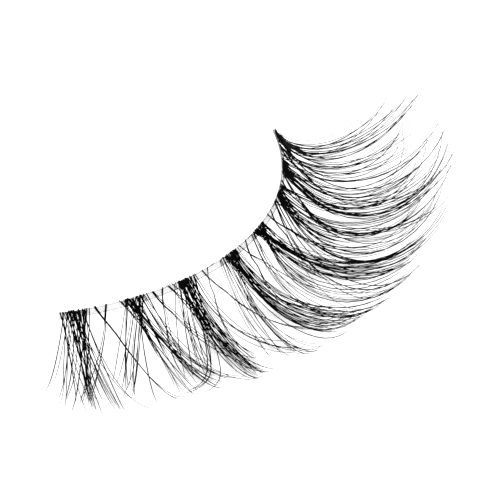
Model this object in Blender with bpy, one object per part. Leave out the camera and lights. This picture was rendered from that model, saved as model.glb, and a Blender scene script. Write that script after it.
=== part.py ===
"""False eyelash strip, in metres, resting belly down.

A clear band curves round the eyelid's edge. Every lash starts on its outer face, dips steeply,
and curls back up, so all of them lie near one surface: a circular curl turned round the
eyelid's axis. Dense clusters alternate with pairs of thin wisps that cross in front of the band.
+X runs to the outer corner, -Y the way the lashes point, +Z up.
"""

import bpy
import numpy as np

for old in list(bpy.data.objects):
    bpy.data.objects.remove(old, do_unlink=True)

MM = 0.001

# Band, in millimetres
ARC_RADIUS = 21.5
BAND_LENGTH = 32.6
BAND_WIDTH = 0.46
BAND_THICK = 0.12
BAND_EDGE = 0.03
BAND_SEGMENTS = 43

# Curl shared by every lash
START_ANGLE = np.radians(65.0)
CURL_RADIUS = 6.6
LAYER = 0.22
STAGGER = 0.06
LAYER_FROM = 0.6
LAYER_FULL = 2.0

# Locks
LOCK_ROOT_RADIUS = 0.09
LOCK_TIP_RADIUS = 0.025
WISP_ROOT_RADIUS = 0.06
WISP_TIP_RADIUS = 0.02
GLUE_GAP = 0.02
ROOT_INSET = 0.15
HEAD_LENGTH = 0.50
HEAD_MARGIN = 0.12
BAND_FACE = -(LOCK_ROOT_RADIUS + GLUE_GAP)
BAND_HEIGHT = CURL_RADIUS * (1 - np.cos(START_ANGLE)) + LOCK_ROOT_RADIUS * 0.75

# Clusters: place of the centre along the band, layer, then a row for each lock with
# (root from the centre, lean at the root, lean at the tip, length). Lean is positive
# towards the outer corner, in degrees. Lengths are in millimetres.
CLUSTERS = (
    (-15.1, 0, (
        (-1.0, 15, -14, 7.5),
        (-0.7, -20, -26, 5.5),
        (-0.3, -12, -20, 6.5),
        (0.1, 16, -14, 9.6),
        (0.45, -10, -9, 8.0),
        (0.6, 12, -2, 9.4),
        (0.8, -22, -24, 8.0),
        (1.0, -10, -13, 6.8),
    )),
    (-10.8, 1, (
        (-1.1, 30, -12, 9.5),
        (-0.6, 22, -25, 9.0),
        (-0.1, -21, -24, 7.0),
        (0.4, -21, -30, 7.5),
        (0.6, 15, -2, 8.5),
        (0.8, -20, -32, 9.5),
        (1.0, 8, 14, 9.5),
        (1.1, 16, -9, 12.5),
    )),
    (-6.7, 0, (
        (-1.0, 28, -6, 8.0),
        (-0.5, -18, -25, 7.0),
        (-0.1, 9, -14, 9.5),
        (0.2, -3, 7, 10.8),
        (0.5, -26, -17, 8.2),
        (0.7, -3, -1, 12.5),
        (0.9, -11, -55, 13.5),
        (1.1, 11, 24, 11.0),
    )),
    (-1.6, 1, (
        (-0.8, -24, -17, 7.2),
        (-0.5, -14, -22, 8.5),
        (-0.1, -3, -12, 12.5),
        (0.2, -21, -18, 12.0),
        (0.4, 6, 2, 11.0),
        (0.6, -4, -8, 11.0),
        (0.8, 4, 36, 9.5),
    )),
    (2.2, 0, (
        (-0.8, 13, -19, 13.5),
        (-0.5, -17, -25, 11.0),
        (-0.4, 34, 24, 12.0),
        (-0.2, -22, -13, 14.0),
        (0.1, 21, -2, 11.5),
        (0.4, -5, -10, 15.0),
        (0.7, 6, 12, 12.5),
    )),
    (7.1, 1, (
        (-0.9, -18, 8, 14.5),
        (-0.7, -14, -9, 14.5),
        (-0.3, 6, 40, 13.0),
        (0.1, 0, 21, 13.5),
        (0.4, 22, -5, 13.5),
        (0.7, 16, 30, 11.0),
        (0.9, 8, 14, 13.0),
    )),
    (11.0, 2, (
        (-0.9, -14, 30, 13.5),
        (-0.5, -22, 50, 15.0),
        (-0.1, 4, 20, 14.5),
        (0.3, 17, -40, 14.5),
        (0.5, 24, 14, 14.0),
        (0.9, 10, 15, 14.0),
    )),
    (15.0, 0, (
        (-1.1, 26, 23, 11.0),
        (-0.9, 23, 12, 13.5),
        (-0.5, 36, 4, 14.5),
        (-0.1, 33, 7, 11.0),
        (0.1, 39, 6, 14.5),
        (0.6, 44, -12, 13.5),
        (1.0, 34, 16, 14.0),
    )),
)

# Crossed wisps: for each pair the left root and the right root along the band, and for
# each wisp the lean at the root, the lean at the tip and the length.
WISP_PAIRS = (
    ((-13.7, 29, -18, 12.0), (-12.85, -18, -32, 9.5)),
    ((-9.2, 29, 20, 8.5), (-8.45, -21, 0, 8.5)),
    ((-4.8, 29, 18, 10.0), (-4.2, -21, -12, 8.0)),
    ((-0.4, 34, 6, 10.0), (0.3, -18, 4, 9.0)),
    ((4.2, 28, 24, 11.0), (4.9, -17, -14, 10.0)),
    ((8.7, 27, 20, 12.0), (9.4, -17, -6, 11.0)),
    ((12.7, 26, 20, 12.5), (13.3, -16, -4, 11.0)),
)
WISP_LAYERS = (3, 4)
WISP_FORK_LEAN = 7
WISP_FORK_LENGTH = 0.86


def arc_frame(angle):
    """Outward and tangent directions, at an angle from the strip's middle."""
    outward = np.stack([np.sin(angle), -np.cos(angle), 0 * angle], axis=-1)
    tangent = np.stack([np.cos(angle), np.sin(angle), 0 * angle], axis=-1)
    return outward, tangent


def curl_point(angle, out, drop):
    """Points this far out from the band's arc and this far below its upper edge."""
    outward, _ = arc_frame(angle)
    point = (ARC_RADIUS + out)[..., None] * outward
    point[..., 2] = BAND_HEIGHT - drop
    return point


def lock_path(root, lean_root, lean_tip, length, layer, stagger, steps):
    """Centre line and frame of a lock. It follows the shared curl while it leans sideways
    by an angle that changes steadily from root to tip."""
    along = np.linspace(ROOT_INSET, length, steps)
    lean = np.radians(np.linspace(lean_root, lean_tip, steps))
    step = (length - ROOT_INSET) / (steps - 1)
    middle = (lean[1:] + lean[:-1]) / 2
    down = ROOT_INSET + np.concatenate([[0], np.cumsum(np.cos(middle) * step)])
    slope = START_ANGLE - down / CURL_RADIUS
    out = CURL_RADIUS * (np.sin(START_ANGLE) - np.sin(slope))
    drop = CURL_RADIUS * (np.cos(slope) - np.cos(START_ANGLE))
    radius = ARC_RADIUS + out
    turn = np.sin(middle) * step / ((radius[1:] + radius[:-1]) / 2)
    angle = root / ARC_RADIUS + np.concatenate([[0], np.cumsum(turn)])
    rise = np.clip((along - LAYER_FROM) / (LAYER_FULL - LAYER_FROM), 0, 1)
    lift = stagger + layer * LAYER * rise * rise * (3 - 2 * rise)
    outward, _ = arc_frame(angle)
    inner = outward * np.sin(slope)[:, None]
    inner[:, 2] = np.cos(slope)
    return curl_point(angle, out, drop) + inner * lift[:, None], inner


def tube(path, inner, radii, sides):
    """Vertices and faces of a closed tapering tube round a path."""
    ahead = np.gradient(path, axis=0)
    ahead /= np.linalg.norm(ahead, axis=1)[:, None]
    across = np.cross(ahead, inner)
    across /= np.linalg.norm(across, axis=1)[:, None]
    up = np.cross(across, ahead)
    turn = 2 * np.pi * np.arange(sides) / sides
    ring = across[:, None] * np.cos(turn)[None, :, None] + up[:, None] * np.sin(turn)[None, :, None]
    points = (path[:, None] + radii[:, None, None] * ring).reshape(-1, 3)
    row, side = np.meshgrid(np.arange(len(path) - 1), np.arange(sides), indexing="ij")
    a = row * sides + side
    b = row * sides + (side + 1) % sides
    walls = np.stack([a, b, b + sides, a + sides], axis=-1).reshape(-1, 4)
    last = (len(path) - 1) * sides
    caps = [list(range(sides))[::-1], [last + i for i in range(sides)]]
    return points, walls.tolist() + caps


def lock(row, layer, stagger, root_radius, tip_radius, sides, steps):
    """A lock: a tube that keeps most of its thickness and tapers in its outer half."""
    path, inner = lock_path(*row, layer, stagger, steps)
    share = np.linspace(0, 1, steps)
    radii = root_radius + (tip_radius - root_radius) * share ** 1.5
    return tube(path, inner, radii, sides)


def head(centre, half_width, low, high):
    """The block of glued roots that joins a cluster's locks, lying along the band's face."""
    count = max(2, int(np.ceil(half_width * 2 / 0.4)) + 1)
    angle = (centre + np.linspace(-half_width, half_width, count)) / ARC_RADIUS
    outward, _ = arc_frame(angle)
    inner = outward * np.sin(START_ANGLE)
    inner[:, 2] = np.cos(START_ANGLE)
    ahead = outward * np.cos(START_ANGLE)
    ahead[:, 2] = -np.sin(START_ANGLE)
    top = curl_point(angle, np.zeros(count), np.zeros(count))
    corners = [
        top + inner * low,
        top + inner * high,
        top + inner * high + ahead * HEAD_LENGTH,
        top + inner * low + ahead * HEAD_LENGTH,
    ]
    points = np.stack(corners, axis=1).reshape(-1, 3)
    return points, loft_faces(count, 4)


def loft_faces(rows, sides):
    """Faces of a closed loft through rows of points, with both ends capped."""
    row, side = np.meshgrid(np.arange(rows - 1), np.arange(sides), indexing="ij")
    a = row * sides + side
    b = row * sides + (side + 1) % sides
    walls = np.stack([a, b, b + sides, a + sides], axis=-1).reshape(-1, 4)
    last = (rows - 1) * sides
    return walls.tolist() + [list(range(sides))[::-1], [last + i for i in range(sides)]]


def mesh_object(name, points, faces):
    mesh = bpy.data.meshes.new(name)
    mesh.from_pydata(np.asarray(points).tolist(), [], faces)
    obj = bpy.data.objects.new(name, mesh)
    bpy.context.scene.collection.objects.link(obj)
    return obj


def joined(shapes):
    """Several shapes as one list of points and faces, not yet fused."""
    points, faces, start = [], [], 0
    for shape_points, shape_faces in shapes:
        points.append(shape_points)
        faces += [[start + i for i in face] for face in shape_faces]
        start += len(shape_points)
    return np.concatenate(points), faces


def fused(name, base, shapes, material):
    """One solid: the base with every other shape fused to it, worked in millimetres."""
    body = mesh_object(name + "_body", *base)
    others = mesh_object(name + "_locks", *joined(shapes))
    union = body.modifiers.new("fuse", "BOOLEAN")
    union.operation = "UNION"
    union.solver = "EXACT"
    union.use_self = True
    union.object = others
    bpy.context.view_layer.update()
    graph = bpy.context.evaluated_depsgraph_get()
    mesh = bpy.data.meshes.new_from_object(body.evaluated_get(graph))
    bpy.data.objects.remove(body, do_unlink=True)
    bpy.data.objects.remove(others, do_unlink=True)
    return finished(name, mesh, material)


def finished(name, mesh, material):
    """The mesh brought to metres, with its material and smooth shading."""
    points = np.empty(len(mesh.vertices) * 3, np.float32)
    mesh.vertices.foreach_get("co", points)
    mesh.vertices.foreach_set("co", points * MM)
    mesh.materials.clear()
    mesh.materials.append(material)
    mesh.shade_smooth()
    mesh.name = name
    obj = bpy.data.objects.new(name, mesh)
    bpy.context.scene.collection.objects.link(obj)
    return obj


def surface(name, colour, roughness, alpha):
    material = bpy.data.materials.new(name)
    material.use_nodes = True
    shader = material.node_tree.nodes["Principled BSDF"]
    shader.inputs["Base Color"].default_value = (*colour, 1)
    shader.inputs["Roughness"].default_value = roughness
    shader.inputs["Metallic"].default_value = 0
    shader.inputs["Alpha"].default_value = alpha
    return material


def band(material):
    """A thin ribbon with eased edges, slanted the way the lashes start."""
    half = BAND_LENGTH / 2 / ARC_RADIUS
    angle = np.linspace(-half, half, BAND_SEGMENTS + 1)
    outward, _ = arc_frame(angle)
    inner = outward * np.sin(START_ANGLE)
    inner[:, 2] = np.cos(START_ANGLE)
    ahead = outward * np.cos(START_ANGLE)
    ahead[:, 2] = -np.sin(START_ANGLE)
    top = curl_point(angle, np.zeros(len(angle)), np.zeros(len(angle)))
    back = BAND_FACE - BAND_THICK
    section = (
        (back, BAND_EDGE),
        (back + BAND_EDGE, 0),
        (BAND_FACE - BAND_EDGE, 0),
        (BAND_FACE, BAND_EDGE),
        (BAND_FACE, BAND_WIDTH - BAND_EDGE),
        (BAND_FACE - BAND_EDGE, BAND_WIDTH),
        (back + BAND_EDGE, BAND_WIDTH),
        (back, BAND_WIDTH - BAND_EDGE),
    )
    points = np.stack([top + inner * lift + ahead * down for lift, down in section], axis=1)
    mesh = bpy.data.meshes.new("band")
    mesh.from_pydata(points.reshape(-1, 3).tolist(), [], loft_faces(len(angle), len(section)))
    obj = finished("band", mesh, material)
    obj.data.shade_flat()
    return obj


clear_band = surface("clear_band", (0.86, 0.85, 0.83), 0.25, 0.4)
lash_hair = surface("lash_hair", (0.012, 0.011, 0.011), 0.45, 1.0)

band(clear_band)

for number, (centre, layer, rows) in enumerate(CLUSTERS, start=1):
    locks = [
        lock(
            (centre + row[0], *row[1:]), layer, STAGGER * (place % 2),
            LOCK_ROOT_RADIUS, LOCK_TIP_RADIUS, 5, 9,
        )
        for place, row in enumerate(rows)
    ]
    half_width = max(abs(row[0]) for row in rows) + HEAD_MARGIN
    block = head(centre, half_width, -LOCK_ROOT_RADIUS, LOCK_ROOT_RADIUS + STAGGER)
    fused(f"lash_cluster_{number}", block, locks, lash_hair)

for number, pair in enumerate(WISP_PAIRS, start=1):
    for side, layer, (root, lean_root, lean_tip, length) in zip(("left", "right"), WISP_LAYERS, pair):
        fork = WISP_FORK_LEAN if lean_root > 0 else -WISP_FORK_LEAN
        long_hair = lock(
            (root, lean_root, lean_tip, length), layer, 0, WISP_ROOT_RADIUS, WISP_TIP_RADIUS, 4, 8
        )
        short_hair = lock(
            (root, lean_root - fork, lean_tip + fork, length * WISP_FORK_LENGTH), layer, 0,
            WISP_ROOT_RADIUS * 0.95, WISP_TIP_RADIUS, 4, 7,
        )
        block = head(root, 0.10, -0.09, 0.07)
        fused(f"wisp_{number}_{side}", block, [long_hair, short_hair], lash_hair)

# The middle of the strip's foot is the origin
solids = list(bpy.data.objects)
clouds = []
for obj in solids:
    points = np.empty(len(obj.data.vertices) * 3, np.float32)
    obj.data.vertices.foreach_get("co", points)
    clouds.append(points.reshape(-1, 3))
low = np.concatenate(clouds).min(axis=0)
high = np.concatenate(clouds).max(axis=0)
foot = np.array([(low[0] + high[0]) / 2, (low[1] + high[1]) / 2, low[2]], np.float32)
for obj, points in zip(solids, clouds):
    obj.data.vertices.foreach_set("co", (points - foot).ravel())
    obj.data.update()
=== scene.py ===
"""False eyelash strip: the looks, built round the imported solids.

Every lash is a fine tapering tube. Lashes lie near one surface, a circular curl turned round the
eyelid's axis, and each is worked out from where it leaves the band, how it leans at the root and
the tip, and how long it is. Lashes of one lock share a row of the tables below.
"""

import bpy
import numpy as np
from mathutils import Matrix, Vector


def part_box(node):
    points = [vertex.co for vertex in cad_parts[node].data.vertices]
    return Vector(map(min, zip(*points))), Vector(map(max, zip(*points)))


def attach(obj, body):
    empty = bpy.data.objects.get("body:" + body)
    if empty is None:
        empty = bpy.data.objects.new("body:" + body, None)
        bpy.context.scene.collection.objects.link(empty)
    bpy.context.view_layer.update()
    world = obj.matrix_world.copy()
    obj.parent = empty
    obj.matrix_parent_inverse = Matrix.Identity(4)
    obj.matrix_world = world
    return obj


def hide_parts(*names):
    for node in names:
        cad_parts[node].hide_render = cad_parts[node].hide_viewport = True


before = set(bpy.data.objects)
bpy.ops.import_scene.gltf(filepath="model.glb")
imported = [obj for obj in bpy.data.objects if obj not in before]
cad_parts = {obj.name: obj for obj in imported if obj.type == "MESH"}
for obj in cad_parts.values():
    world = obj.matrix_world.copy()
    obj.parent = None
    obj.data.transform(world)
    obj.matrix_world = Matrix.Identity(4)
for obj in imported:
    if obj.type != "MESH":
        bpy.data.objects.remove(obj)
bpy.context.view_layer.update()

MM = 0.001

# Band, in millimetres, as in the part's source. Its faces slant the way the lashes start, and
# the outer one lies BAND_FACE off the surface that the lashes follow.
ARC_RADIUS = 21.5
BAND_LENGTH = 32.6
BAND_WIDTH = 0.46
BAND_EDGE = 0.03
BAND_FACE = -0.11
BAND_SEGMENTS = 43

# Curl shared by every lash
START_ANGLE = np.radians(65.0)
CURL_RADIUS = 6.6

# Thin layers that keep clusters and wisps over each other, with three heights inside each. A
# lash rises to its layer between these two distances down the curl.
LAYER = 0.12
STAGGER = 0.06
STAGGER_HEIGHTS = 3
LAYER_FROM = 0.6
LAYER_FULL = 2.0

# Single lash: thick at the root from glue, even, then drawn out to a tip. The shares are of its
# length, and one of the thicknesses is drawn for each lash.
LASH_RADIUS = 0.033
LASH_TIP_RADIUS = 0.016
LASH_THICKNESS = (0.7, 0.8, 0.9, 1.0, 1.2)
ROOT_SWELL = 0.4
ROOT_SHARE = 0.15
TIP_SHARE = 0.35
LASH_SIDES = 4
LASH_STEPS = 15

# Roots: how far over the band's upper edge they start, the length added for it, how deep they
# sit in the glue, and how near they come to the band's ends
ROOT_HEIGHTS = (-0.04, 0.12)
ROOT_ABOVE = 0.15
ROOT_SINK = 0.075
END_MARGIN = 0.1
ROOT_REACH = BAND_LENGTH / 2 - END_MARGIN

# Middle of the band's arc, at the height of its upper edge, worked out from the box of the band
# solid. The band is foremost at the foot of its outer face, where two flat segments meet, and
# highest at the top of that face, one eased edge in.
BAND_LOW, BAND_HIGH = (np.array(corner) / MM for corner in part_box("band"))
HALF_SEGMENT = BAND_LENGTH / ARC_RADIUS / BAND_SEGMENTS / 2
FOOT_OUT = BAND_FACE * np.sin(START_ANGLE) + (BAND_WIDTH - BAND_EDGE) * np.cos(START_ANGLE)
TOP_DOWN = (BAND_EDGE - BAND_FACE) * np.cos(START_ANGLE)
ARC_MIDDLE = np.array([
    (BAND_LOW[0] + BAND_HIGH[0]) / 2,
    BAND_LOW[1] + (ARC_RADIUS + FOOT_OUT) * np.cos(HALF_SEGMENT),
    BAND_HIGH[2] + TOP_DOWN,
])

# Clusters: place of the centre along the band, layer, then a row for each lock: (lashes, root
# from the centre, lean at the root, lean at the tip, length, hook). Lean is positive towards the
# outer corner, in degrees, and the hook is lean added towards the tip. Lengths are in
# millimetres, of the lock's longest lashes. The rows are laid out like the part's, with the number
# of lashes and the hook added, and the last row of each cluster is its short under-lashes.
CLUSTERS = (
    (-15.1, 0, (
        (5, -1.0, 12, -10, 8.5, 0),
        (3, -0.8, -18, -18, 6.5, 0),
        (5, -0.3, -12, -25, 8.0, 0),
        (7, -0.2, 14, -4, 10.0, 0),
        (4, 0.3, -4, -7, 8.5, 0),
        (2, 0.3, 12, -8, 11.5, 0),
        (3, 0.7, -15, -22, 9.0, 0),
        (6, 0.4, -2, -10, 7.5, 0),
        (8, -0.4, 8, 0, 4.0, 0),
    )),
    (-10.8, 1, (
        (4, -0.8, 30, -10, 9.5, 0),
        (4, -0.6, 22, -20, 9.5, 0),
        (4, -0.3, -20, -20, 7.5, 0),
        (4, 0.2, -22, -28, 8.0, 0),
        (10, -0.4, 26, 2, 9.8, 0),
        (4, 0.8, -22, -28, 10.5, 0),
        (4, 0.8, 10, 15, 10.0, 0),
        (4, 0.7, 15, -10, 12.5, 0),
        (6, 0.2, 10, 0, 5.0, 0),
    )),
    (-6.7, 0, (
        (4, -1.0, 35, -5, 8.5, 0),
        (5, -0.4, -15, -25, 8.0, 0),
        (10, -0.1, 12, -17, 10.5, 0),
        (5, 0.1, 0, -10, 11.0, 0),
        (4, 0.5, -20, -20, 9.0, 10),
        (10, 0.5, 12, -23, 11.0, 0),
        (4, 0.9, -10, -45, 12.5, -40),
        (5, 1.0, 10, 20, 10.5, 0),
        (7, 0.1, 8, -5, 6.0, 0),
    )),
    (-1.6, 1, (
        (6, -1.0, -10, -22, 10.0, 0),
        (5, -0.6, -2, -28, 13.5, 10),
        (8, -0.4, 12, -8, 12.0, 20),
        (6, 0.2, -18, -18, 13.5, 0),
        (7, 0.1, 0, 2, 12.0, 80),
        (5, 0.5, 0, 30, 10.0, 0),
        (6, 0.7, 10, 20, 13.5, 0),
        (4, -0.6, 25, -5, 11.0, 10),
        (7, 0.0, 8, 0, 6.0, 0),
    )),
    (2.2, 0, (
        (8, -0.3, 35, -8, 12.0, 50),
        (6, -0.7, -10, -4, 13.0, 40),
        (5, 0.0, 35, 12, 15.5, 60),
        (4, 0.2, 20, 30, 17.5, 40),
        (5, 0.4, 30, 0, 13.0, 30),
        (4, 0.6, -15, 35, 14.0, 10),
        (5, 0.9, 20, 20, 13.0, 0),
        (4, 1.0, -30, 35, 14.5, 0),
        (7, 0.1, 20, 5, 6.5, 0),
    )),
    (7.1, 1, (
        (3, -0.6, 27, 12, 14.0, 30),
        (6, -0.9, -28, -12, 15.0, 40),
        (4, 0.1, 0, 45, 16.0, 10),
        (8, 0.1, -25, 15, 13.0, 40),
        (4, 0.4, 20, 0, 15.0, 10),
        (3, 0.8, 15, 35, 15.0, 0),
        (5, 1.0, -38, 80, 17.5, 0),
        (4, 1.2, 32, 10, 16.0, 0),
        (6, 0.0, -8, 8, 6.5, 0),
    )),
    (11.0, 2, (
        (5, -0.8, -42, 45, 14.0, 10),
        (3, -0.7, 5, 25, 15.5, -15),
        (5, -0.2, -15, 45, 17.0, 0),
        (4, 0.0, 22, 22, 16.5, 0),
        (3, 0.1, 15, 0, 15.5, 15),
        (5, 0.4, -20, 72, 17.5, 0),
        (2, 0.5, 0, 25, 13.5, 0),
        (4, 1.2, 30, 8, 15.5, 0),
        (6, -0.1, -12, 10, 6.5, 0),
    )),
    (15.0, 0, (
        (3, -1.3, 25, 15, 14.0, 0),
        (3, -0.8, -20, 40, 13.0, -10),
        (5, -0.5, 35, 4, 16.5, 0),
        (4, 0.0, 42, 8, 15.0, 0),
        (4, 0.3, -15, 42, 15.5, 0),
        (4, 0.7, 15, 15, 15.0, -10),
        (4, 0.6, 38, 2, 16.5, 0),
        (2, 0.9, 34, 4, 16.5, 0),
        (5, 0.4, 25, 10, 6.0, 0),
    )),
)

# Crossed wisps: for each pair the left wisp and the right wisp, each a row as above, with the
# root measured along the whole band. The layers are those of the left and the right wisps.
WISP_PAIRS = (
    ((3, -13.7, 26, -13, 12.5, 0), (3, -12.9, -20, -28, 9.5, 0)),
    ((3, -9.2, 24, 20, 9.5, 0), (3, -8.4, -26, 5, 9.0, 0)),
    ((3, -4.7, 22, 22, 11.0, 0), (3, -4.2, -30, 0, 9.5, 0)),
    ((3, -0.4, 30, 5, 8.0, 0), (3, 0.4, -28, 8, 10.0, 0)),
    ((3, 4.3, 20, 18, 10.5, 0), (2, 5.0, -30, -12, 7.0, 0)),
    ((3, 8.3, 30, 14, 13.5, 0), (3, 9.1, -35, 40, 10.0, 0)),
    ((3, 12.7, 30, 20, 13.5, 0), (3, 13.4, -36, 30, 12.5, 0)),
)
WISP_LAYERS = (3, 4)

# How much the lashes of one lock differ: place and lean at the root, lean at the tip, share of
# the length that the shortest ones fall short, and sway
LOCK_SPREAD = (0.3, 4.0, 7.0, 0.2, 1.5)
WISP_SPREAD = (0.06, 2.0, 5.0, 0.12, 0.5)

# Share of the length past which a lash hooks, how much of its hook it takes, and how far its tip
# strays off the layer
HOOK_FROM = 0.6
HOOK_TAKEN = (0.6, 1.2)
STRAY = 0.05

# Random draws start afresh for each cluster and each wisp
CLUSTER_SEED = 100
WISP_SEED = 200

# Binding hair: short dark loops that lie over the band's upper edge beside a cluster. Each row
# has where the loop starts and ends along the band, how high it stands at its middle, how high
# its end stands against the cluster, and its thickness.
BINDING_LOOPS = (
    (-9.7, -9.0, 0.03, 0.03, 0.5),
    (-8.3, -7.5, 0.05, 0.12, 0.9),
    (-4.1, -3.5, 0.05, 0.10, 0.9),
    (-2.9, -2.5, 0.04, 0.08, 0.8),
    (0.6, 1.2, 0.06, 0.10, 1.1),
    (5.1, 6.0, 0.06, 0.10, 1.0),
    (9.4, 9.9, 0.04, 0.08, 0.9),
    (11.9, 12.6, 0.05, 0.02, 0.8),
    (13.0, 13.7, 0.05, 0.08, 0.9),
    (13.9, 14.6, 0.05, 0.02, 0.8),
    (15.3, 16.25, 0.03, 0.06, 1.7),
)
LOOP_RADIUS = 0.03
LOOP_END = 0.25
LOOP_STEPS = 13


def outward_at(angle):
    """Unit vectors away from the eyelid's axis, level, at angles round it: sine, minus cosine, 0."""
    return np.stack([np.sin(angle), -np.cos(angle), 0 * angle], axis=-1)


def running_sum(steps):
    """Sum of the steps before each point of each lash, from nought at its root."""
    return np.pad(np.cumsum(steps, axis=1), ((0, 0), (1, 0)))


def lash_lines(root, above, lean_root, lean_tip, length, hook, lift, sway, steps):
    """Centre lines of many lashes at once, with the direction towards the inside of the curl.

    Each argument but lift and steps is one number for each lash. The lean goes evenly from root
    to tip, plus sway times one sine wave, plus the hook times the square of the way from
    HOOK_FROM to the tip. Each step goes down the curl by its cosine and sideways by its sine.
    The slope is the start angle less the distance down over the curl's radius. The curl's radius
    times what sine loses from the start angle to the slope is the way out, and times what cosine
    gains is the drop. Sideways a lash turns round the eyelid's axis by its sideways run over its
    distance from the axis. It starts above the band's upper edge and crosses that edge at root,
    and lift is its height over the curl.
    """
    share = np.linspace(0, 1, steps)
    lean = lean_root[:, None] + (lean_tip - lean_root)[:, None] * share
    bend = np.clip((share - HOOK_FROM) / (1 - HOOK_FROM), 0, 1) ** 2
    lean = np.radians(lean + sway[:, None] * np.sin(share * 2 * np.pi) + hook[:, None] * bend)
    middle = (lean[:, 1:] + lean[:, :-1]) / 2
    step = (length / (steps - 1))[:, None]
    down = running_sum(np.cos(middle) * step) - above[:, None]
    slope = START_ANGLE - down / CURL_RADIUS
    out = CURL_RADIUS * (np.sin(START_ANGLE) - np.sin(slope))
    drop = CURL_RADIUS * (np.cos(slope) - np.cos(START_ANGLE))
    radius = ARC_RADIUS + out
    turn = np.sin(middle) * step / ((radius[:, 1:] + radius[:, :-1]) / 2)
    start = root - above * np.tan(np.radians(lean_root))
    outward = outward_at(start[:, None] / ARC_RADIUS + running_sum(turn))
    inside = outward * np.sin(slope)[..., None]
    inside[..., 2] = np.cos(slope)
    line = radius[..., None] * outward
    line[..., 2] = -drop
    line += inside * lift(share, down)[..., None]
    return line + ARC_MIDDLE, inside


def tubes(line, inside, radius, sides):
    """Closed tapering tubes round many lines: a ring of sides at each point, square to the line,
    turned so that its first corner lies across the curl, and a flat cap at each end."""
    ahead = np.gradient(line, axis=1)
    ahead /= np.linalg.norm(ahead, axis=-1, keepdims=True)
    across = np.cross(ahead, inside)
    across /= np.linalg.norm(across, axis=-1, keepdims=True)
    up = np.cross(across, ahead)
    turn = 2 * np.pi * np.arange(sides) / sides
    ring = across[:, :, None] * np.cos(turn)[:, None] + up[:, :, None] * np.sin(turn)[:, None]
    points = line[:, :, None] + radius[:, :, None, None] * ring
    count, steps = line.shape[:2]
    tube, row, side = np.meshgrid(
        np.arange(count), np.arange(steps - 1), np.arange(sides), indexing="ij"
    )
    first = (tube * steps + row) * sides
    a = first + side
    b = first + (side + 1) % sides
    walls = np.stack([a, b, b + sides, a + sides], axis=-1).reshape(-1, 4)
    base = (np.arange(count) * steps * sides)[:, None]
    low = base + np.arange(sides)[::-1]
    high = base + (steps - 1) * sides + np.arange(sides)
    return points.reshape(-1, 3), walls.tolist() + low.tolist() + high.tolist()


def tapered(steps, thickness):
    """Radius along each lash: swollen at the root, less by an even fall over ROOT_SHARE of the
    length, then even, then thinner by the square of the way through the last TIP_SHARE."""
    share = np.linspace(0, 1, steps)
    glue = ROOT_SWELL * np.clip(1 - share / ROOT_SHARE, 0, 1)
    tip = np.clip((share - 1 + TIP_SHARE) / TIP_SHARE, 0, 1)
    shape = 1 + glue - (1 - LASH_TIP_RADIUS / LASH_RADIUS) * tip ** 2
    return LASH_RADIUS * thickness[:, None] * shape


def lock_lashes(rng, centre, layer, locks, spread):
    """The lashes of some locks. Each lash is its lock's row, with its root moved evenly at random
    to either side, its leans by a normal draw, and its length cut by an even draw."""
    root_spread, lean_spread, tip_spread, ragged, sway_spread = spread
    rows = np.array(locks, float)
    rows = np.repeat(rows[:, 1:], rows[:, 0].astype(int), axis=0)
    total = len(rows)
    root = centre + rows[:, 0] + rng.uniform(-root_spread, root_spread, total)
    root = np.clip(root, -ROOT_REACH, ROOT_REACH)
    lean_root = rows[:, 1] + rng.normal(0, lean_spread, total)
    lean_tip = rows[:, 2] + rng.normal(0, tip_spread, total)
    length = rows[:, 3] * (1 - rng.uniform(0, ragged, total)) + ROOT_ABOVE
    hook = rows[:, 4] * rng.uniform(*HOOK_TAKEN, total)
    above = rng.uniform(*ROOT_HEIGHTS, total)
    sway = rng.normal(0, sway_spread, total)
    stray = np.abs(rng.normal(0, STRAY, total))[:, None]
    stagger = (STAGGER * (np.arange(total) % STAGGER_HEIGHTS))[:, None]

    def lift(share, down):
        """Height over the curl: sunk in the glue at the root, an even rise out of it to the
        lash's own stagger, a smooth step up to its layer, and stray growing evenly to the tip."""
        rise = np.clip((down - LAYER_FROM) / (LAYER_FULL - LAYER_FROM), 0, 1)
        rooted = np.clip(1 - down / LAYER_FROM, 0, 1)
        risen = stagger * (1 - rooted) + layer * LAYER * rise * rise * (3 - 2 * rise)
        return risen + stray * share - ROOT_SINK * rooted

    line, inside = lash_lines(
        root, above, lean_root, lean_tip, length, hook, lift, sway, LASH_STEPS
    )
    radius = tapered(LASH_STEPS, rng.choice(LASH_THICKNESS, total))
    return tubes(line, inside, radius, LASH_SIDES)


def binding_loops():
    """Tubes along the band's upper edge. Height over the edge is half a sine wave across the loop
    plus an even rise to its end, and each tube swells by half a sine wave from LOOP_END of its
    thickness at its two ends to all of it at its middle."""
    start, end, middle, rise, thickness = np.array(BINDING_LOOPS).T[..., None]
    share = np.linspace(0, 1, LOOP_STEPS)
    outward = outward_at((start + (end - start) * share) / ARC_RADIUS)
    line = ARC_RADIUS * outward
    line[..., 2] = middle * np.sin(np.pi * share) + rise * share
    inside = outward * np.sin(START_ANGLE)
    inside[..., 2] = np.cos(START_ANGLE)
    swell = LOOP_END + (1 - LOOP_END) * np.sin(np.pi * share)
    return tubes(line + ARC_MIDDLE, inside, LOOP_RADIUS * thickness * swell, LASH_SIDES)


def piece(name, points, faces, material, smooth=True):
    """A mesh object from points in millimetres."""
    mesh = bpy.data.meshes.new(name)
    mesh.from_pydata((points * MM).tolist(), [], faces)
    if smooth:
        mesh.shade_smooth()
    mesh.materials.append(material)
    made = bpy.data.objects.new(name, mesh)
    bpy.context.scene.collection.objects.link(made)
    return made


def bare_material(name):
    """A material, its nodes, its shader, and the piece's own coordinates."""
    material = bpy.data.materials.new(name)
    material.use_nodes = True
    tree = material.node_tree
    return material, tree, tree.nodes["Principled BSDF"], tree.nodes.new("ShaderNodeTexCoord")


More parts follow.
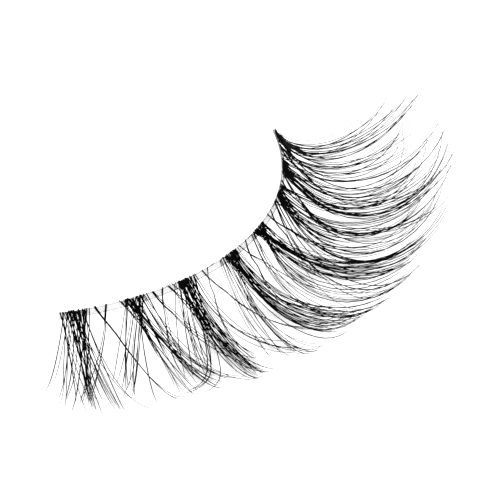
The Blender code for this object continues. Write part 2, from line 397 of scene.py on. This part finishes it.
def patches(tree, place, scale, detail):
    """Soft uneven patches that stay with the piece."""
    noise = tree.nodes.new("ShaderNodeTexNoise")
    noise.inputs["Scale"].default_value = scale
    noise.inputs["Detail"].default_value = detail
    tree.links.new(place.outputs["Object"], noise.inputs["Vector"])
    return noise.outputs["Fac"]


def blended(tree, amount, first, last):
    """A colour that goes from the first tone to the last as the amount goes between their places."""
    ramp = tree.nodes.new("ShaderNodeValToRGB")
    for stop, (position, tone) in zip(ramp.color_ramp.elements, (first, last)):
        stop.position = position
        stop.color = (*tone, 1)
    tree.links.new(amount, ramp.inputs["Fac"])
    return ramp.outputs["Color"]


def ranged(tree, amount, given=(0, 1), wanted=(0, 1)):
    """An amount carried evenly from one range to another, and held at its ends."""
    node = tree.nodes.new("ShaderNodeMapRange")
    node.inputs["From Min"].default_value, node.inputs["From Max"].default_value = given
    node.inputs["To Min"].default_value, node.inputs["To Max"].default_value = wanted
    tree.links.new(amount, node.inputs["Value"])
    return node.outputs["Result"]


# Lash fibre: dyed black, a little browner in patches, with uneven gloss
FIBRE_PATCHES = (900, 3)
FIBRE_BLACK = (0.3, (0.0008, 0.0008, 0.001))
FIBRE_BROWN = (0.75, (0.005, 0.004, 0.0035))
FIBRE_ROUGHNESS = (0.38, 0.6)
FIBRE_SHINE = 0.02


def lash_material():
    material, tree, shader, place = bare_material("lash_fibre")
    dye = patches(tree, place, *FIBRE_PATCHES)
    tree.links.new(blended(tree, dye, FIBRE_BLACK, FIBRE_BROWN), shader.inputs["Base Color"])
    tree.links.new(ranged(tree, dye, wanted=FIBRE_ROUGHNESS), shader.inputs["Roughness"])
    shader.inputs["Specular IOR Level"].default_value = FIBRE_SHINE
    return material


# Band film: clear, faintly milky and uneven on its two slanting faces. Along its cut edges, which
# are what faces up or down, it is painted darker and denser: painted shade for the dark outline that
# light bending through a clear film gives its edges
FILM_PATCHES = (1400, 4)
FILM_DULL = (0.35, (0.30, 0.29, 0.29))
FILM_MILKY = (0.65, (0.62, 0.61, 0.60))
FILM_COVER = (0.2, 0.5)
FILM_ROUGHNESS = 0.3
CUT_EDGE_SHADE_FACING = (0.5, 0.85)
CUT_EDGE_SHADE_TONE = (0.08, 0.08, 0.08, 1)
CUT_EDGE_SHADE_COVER = 0.35


def film_material():
    material, tree, shader, place = bare_material("band_film")
    haze = patches(tree, place, *FILM_PATCHES)
    facing = tree.nodes.new("ShaderNodeSeparateXYZ")
    tree.links.new(place.outputs["Normal"], facing.inputs["Vector"])
    upright = tree.nodes.new("ShaderNodeMath")
    upright.operation = "ABSOLUTE"
    tree.links.new(facing.outputs["Z"], upright.inputs[0])
    # Painted shade: faces that point up or down, the film's cut edges, get a dark tone and more
    # cover, standing in for the dark outline that light gives a clear film's edges
    cut = ranged(tree, upright.outputs["Value"], given=CUT_EDGE_SHADE_FACING)
    colour = tree.nodes.new("ShaderNodeMix")
    colour.data_type = "RGBA"
    colour.inputs["B"].default_value = CUT_EDGE_SHADE_TONE
    tree.links.new(cut, colour.inputs["Factor"])
    tree.links.new(blended(tree, haze, FILM_DULL, FILM_MILKY), colour.inputs["A"])
    tree.links.new(colour.outputs["Result"], shader.inputs["Base Color"])
    cover = tree.nodes.new("ShaderNodeMath")
    cover.operation = "MULTIPLY_ADD"
    cover.inputs[1].default_value = CUT_EDGE_SHADE_COVER
    tree.links.new(cut, cover.inputs[0])
    tree.links.new(ranged(tree, haze, wanted=FILM_COVER), cover.inputs[2])
    tree.links.new(cover.outputs["Value"], shader.inputs["Alpha"])
    shader.inputs["Roughness"].default_value = FILM_ROUGHNESS
    return material


# Pale floor: near white with faint patches, and a glow of its own, so that it stays white
FLOOR_PATCHES = (6, 2)
FLOOR_DIM = (0, (0.93, 0.93, 0.93))
FLOOR_BRIGHT = (1, (0.96, 0.96, 0.96))
FLOOR_GLOW = 0.45
FLOOR_ROUGHNESS = 0.9
FLOOR_HALF = 2000.0
FLOOR_UNDER = 0.02


def floor_material():
    material, tree, shader, place = bare_material("pale_floor")
    tint = blended(tree, patches(tree, place, *FLOOR_PATCHES), FLOOR_DIM, FLOOR_BRIGHT)
    tree.links.new(tint, shader.inputs["Base Color"])
    tree.links.new(tint, shader.inputs["Emission Color"])
    shader.inputs["Emission Strength"].default_value = FLOOR_GLOW
    shader.inputs["Roughness"].default_value = FLOOR_ROUGHNESS
    return material


lash_fibre = lash_material()
band_film = film_material()

# Band
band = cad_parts["band"]
for slot in band.material_slots:
    slot.material = band_film

# Clusters
for number, (centre, layer, locks) in enumerate(CLUSTERS, start=1):
    rng = np.random.default_rng(CLUSTER_SEED + number)
    points, faces = lock_lashes(rng, centre, layer, locks, LOCK_SPREAD)
    lashes = piece(f"lashes_of_cluster_{number}", points, faces, lash_fibre)
    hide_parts(f"lash_cluster_{number}")
    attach(lashes, "root")

# Wisps
for number, pair in enumerate(WISP_PAIRS, start=1):
    for side, layer, lock in zip(("left", "right"), WISP_LAYERS, pair):
        rng = np.random.default_rng(WISP_SEED + number * 2 + layer)
        points, faces = lock_lashes(rng, 0.0, layer, (lock,), WISP_SPREAD)
        lashes = piece(f"lashes_of_wisp_{number}_{side}", points, faces, lash_fibre)
        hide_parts(f"wisp_{number}_{side}")
        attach(lashes, "root")

# Binding hair
loops = piece("binding_hair", *binding_loops(), lash_fibre)
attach(loops, "root")

# Floor
corners = np.array([(-1, -1), (1, -1), (1, 1), (-1, 1)]) * FLOOR_HALF
floor_points = np.column_stack([corners, np.full(len(corners), -FLOOR_UNDER)])
floor = piece("floor", floor_points, [[0, 1, 2, 3]], floor_material(), smooth=False)

# Tones taken straight, so that the white ground stays white
bpy.context.scene.view_settings.view_transform = "Standard"

# Light: an even white room with one large soft lamp above and behind
ROOM_LIGHT = 1.0
LAMP_POWER = 2.0
LAMP_WIDTH = 600.0
LAMP_PLACE = Vector((100.0, 250.0, 600.0)) * MM

world = bpy.data.worlds.new("white_room")
bpy.context.scene.world = world
world.use_nodes = True
world.node_tree.nodes["Background"].inputs["Color"].default_value = (1, 1, 1, 1)
world.node_tree.nodes["Background"].inputs["Strength"].default_value = ROOM_LIGHT

lamp_data = bpy.data.lights.new("soft_lamp", "AREA")
lamp_data.shape = "DISK"
lamp_data.size = LAMP_WIDTH * MM
lamp_data.energy = LAMP_POWER
lamp = bpy.data.objects.new("soft_lamp", lamp_data)
lamp.location = LAMP_PLACE
lamp.rotation_euler = (-LAMP_PLACE).to_track_quat("-Z", "Y").to_euler()
bpy.context.scene.collection.objects.link(lamp)

# Camera: far off with a long lens, as close-up product pictures are taken
AZIMUTH = np.radians(-61.6)
ELEVATION = np.radians(30.4)
ROLL = np.radians(2.1)
DISTANCE = 900.2
TARGET = Vector((3.527, 6.203, -1.210)) * MM
PIXELS_PER_MM = 14.591
IMAGE = 500
SENSOR = 36.0

back = Vector((
    np.sin(AZIMUTH) * np.cos(ELEVATION),
    -np.cos(AZIMUTH) * np.cos(ELEVATION),
    np.sin(ELEVATION),
))
camera_data = bpy.data.cameras.new("camera")
camera_data.sensor_width = SENSOR
camera_data.lens = SENSOR * PIXELS_PER_MM * DISTANCE / IMAGE
camera_data.clip_start = 0.05
camera_data.clip_end = 20
camera = bpy.data.objects.new("camera", camera_data)
turned = (-back).to_track_quat("-Z", "Y").to_matrix() @ Matrix.Rotation(ROLL, 3, "Z")
camera.matrix_world = Matrix.Translation(TARGET + back * DISTANCE * MM) @ turned.to_4x4()
bpy.context.scene.collection.objects.link(camera)
bpy.context.scene.camera = camera
